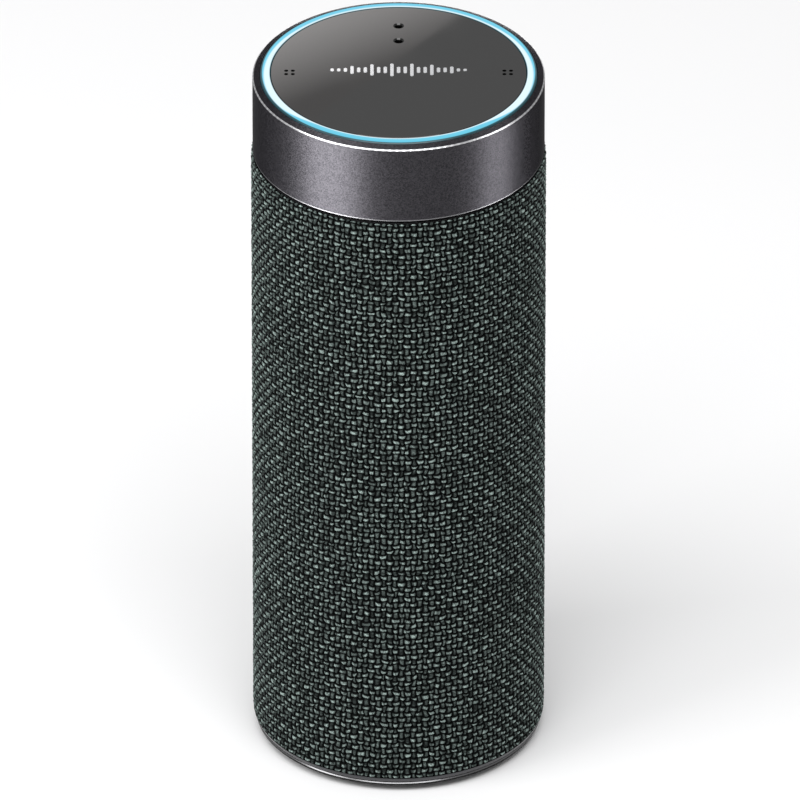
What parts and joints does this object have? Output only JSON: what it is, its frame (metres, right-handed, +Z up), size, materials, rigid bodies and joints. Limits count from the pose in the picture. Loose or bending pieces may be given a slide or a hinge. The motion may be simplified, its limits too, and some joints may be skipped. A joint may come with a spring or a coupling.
{
  "type": "smart speaker",
  "caption": "Upright cylindrical wireless speaker with a woven sleeve, painted collar, light ring, glossy top plate and rear keys.",
  "frame": {"origin": "centre of the foot's underside, on the surface the speaker stands on", "axes": "+Z up along the cylinder's axis, front (the drivers) towards -Y, connection panel and keys towards +Y"},
  "size_m": [0.089, 0.089, 0.2286],
  "materials": {
    "foot_rubber": "matt moulded rubber",
    "black_plastic": "fine matt texture",
    "silver_trim": "glossy silver-grey lacquer",
    "screw_steel": "zinc plated",
    "inner_plastic": "plain moulded",
    "cell_wrap": "shrink wrap",
    "circuit_board": "solder mask",
    "chip_black": "moulded package",
    "shield_steel": "plain tinned",
    "key_plastic": "satin",
    "light_pipe": "frosted clear",
    "woven_fabric": "heather weave of near-black and grey-green yarn",
    "gasket_rubber": "soft rubber",
    "radiator_mass": "black painted steel",
    "wire_jacket": "wire insulation",
    "ribbon_film": "flexible film",
    "light_chip": "phosphor",
    "gloss_plate": "polished",
    "light_diffuser": "translucent, lit",
    "collar_paint": "satin metallic with a fine speckle",
    "basket_steel": "black powder coat",
    "magnet_ferrite": "ground ferrite",
    "coil_copper": "enamelled copper wire",
    "cone_paper": "coated pulp",
    "spider_cloth": "impregnated cloth"
  },
  "bodies": {
    "housing": {"foot_pad": "foot_rubber", "base_cup": "black_plastic", "trim_ring": "silver_trim", "base_screws": "screw_steel", "battery_holder": "inner_plastic", "battery_cells": "cell_wrap", "main_board": "circuit_board", "board_parts": "chip_black", "rf_shield": "shield_steel", "board_screws": "screw_steel", "electronics_bay": "inner_plastic", "io_panel": "black_plastic", "io_board": "circuit_board", "usb_socket": "shield_steel", "aux_jack": "black_plastic", "charge_light_pipe": "light_pipe", "fabric_sleeve": "woven_fabric", "grille_tube": "black_plastic", "box_front": "inner_plastic", "box_rear": "inner_plastic", "box_gasket": "gasket_rubber", "driver_screws": "screw_steel", "radiator_frame": "inner_plastic", "radiator_surround": "gasket_rubber", "speaker_leads": "wire_jacket", "top_ribbon": "ribbon_film", "top_frame": "inner_plastic", "key_circuit": "ribbon_film", "tact_switches": "chip_black", "light_board": "circuit_board", "light_chips": "light_chip", "microphones": "shield_steel", "microphone_gaskets": "gasket_rubber", "plate_carrier": "inner_plastic", "top_plate": "gloss_plate", "light_ring": "light_diffuser", "collar": "collar_paint", "upper_basket": "basket_steel", "upper_magnet": "magnet_ferrite", "upper_yoke": "shield_steel", "upper_surround": "gasket_rubber", "upper_spider": "spider_cloth", "lower_basket": "basket_steel", "lower_magnet": "magnet_ferrite", "lower_yoke": "shield_steel", "lower_surround": "gasket_rubber", "lower_spider": "spider_cloth"},
    "power_button": {"power_button": "key_plastic"},
    "radiator": {"radiator_plate": "radiator_mass"},
    "action_key": {"action_key": "key_plastic"},
    "mute_key": {"mute_key": "key_plastic"},
    "volume_down_key": {"volume_down_key": "key_plastic"},
    "volume_up_key": {"volume_up_key": "key_plastic"},
    "upper_cone_assembly": {"upper_voice_coil": "coil_copper", "upper_cone": "cone_paper", "upper_dust_cap": "cone_paper"},
    "lower_cone_assembly": {"lower_voice_coil": "coil_copper", "lower_cone": "cone_paper", "lower_dust_cap": "cone_paper"}
  },
  "joints": [
    {"name": "action_key_press", "type": "slide", "parent": "housing", "child": "action_key", "axis": [-0.4165, -0.9092, 0], "range_m": [0, 0.0005], "stiffness_N_per_m": 1500, "springref_m": -0.0002},
    {"name": "mute_key_press", "type": "slide", "parent": "housing", "child": "mute_key", "axis": [-0.1427, -0.9898, 0], "range_m": [0, 0.0005], "stiffness_N_per_m": 1500, "springref_m": -0.0002},
    {"name": "volume_down_key_press", "type": "slide", "parent": "housing", "child": "volume_down_key", "axis": [0.1427, -0.9898, 0], "range_m": [0, 0.0005], "stiffness_N_per_m": 1500, "springref_m": -0.0002},
    {"name": "volume_up_key_press", "type": "slide", "parent": "housing", "child": "volume_up_key", "axis": [0.4165, -0.9092, 0], "range_m": [0, 0.0005], "stiffness_N_per_m": 1500, "springref_m": -0.0002},
    {"name": "power_button_press", "type": "slide", "parent": "housing", "child": "power_button", "axis": [0, -1, 0], "range_m": [0, 0.0005], "stiffness_N_per_m": 1500, "springref_m": -0.0002},
    {"name": "upper_cone_travel", "type": "slide", "parent": "housing", "child": "upper_cone_assembly", "axis": [0, -1, 0], "range_m": [-0.0015, 0.0015], "stiffness_N_per_m": 1200, "deforming": ["upper_surround", "upper_spider"]},
    {"name": "lower_cone_travel", "type": "slide", "parent": "housing", "child": "lower_cone_assembly", "axis": [0, -1, 0], "range_m": [-0.0015, 0.0015], "stiffness_N_per_m": 1200, "deforming": ["lower_surround", "lower_spider"]},
    {"name": "radiator_travel", "type": "slide", "parent": "housing", "child": "radiator", "axis": [0, 1, 0], "range_m": [-0.0025, 0.0025], "stiffness_N_per_m": 900, "deforming": ["radiator_surround"]}
  ]
}
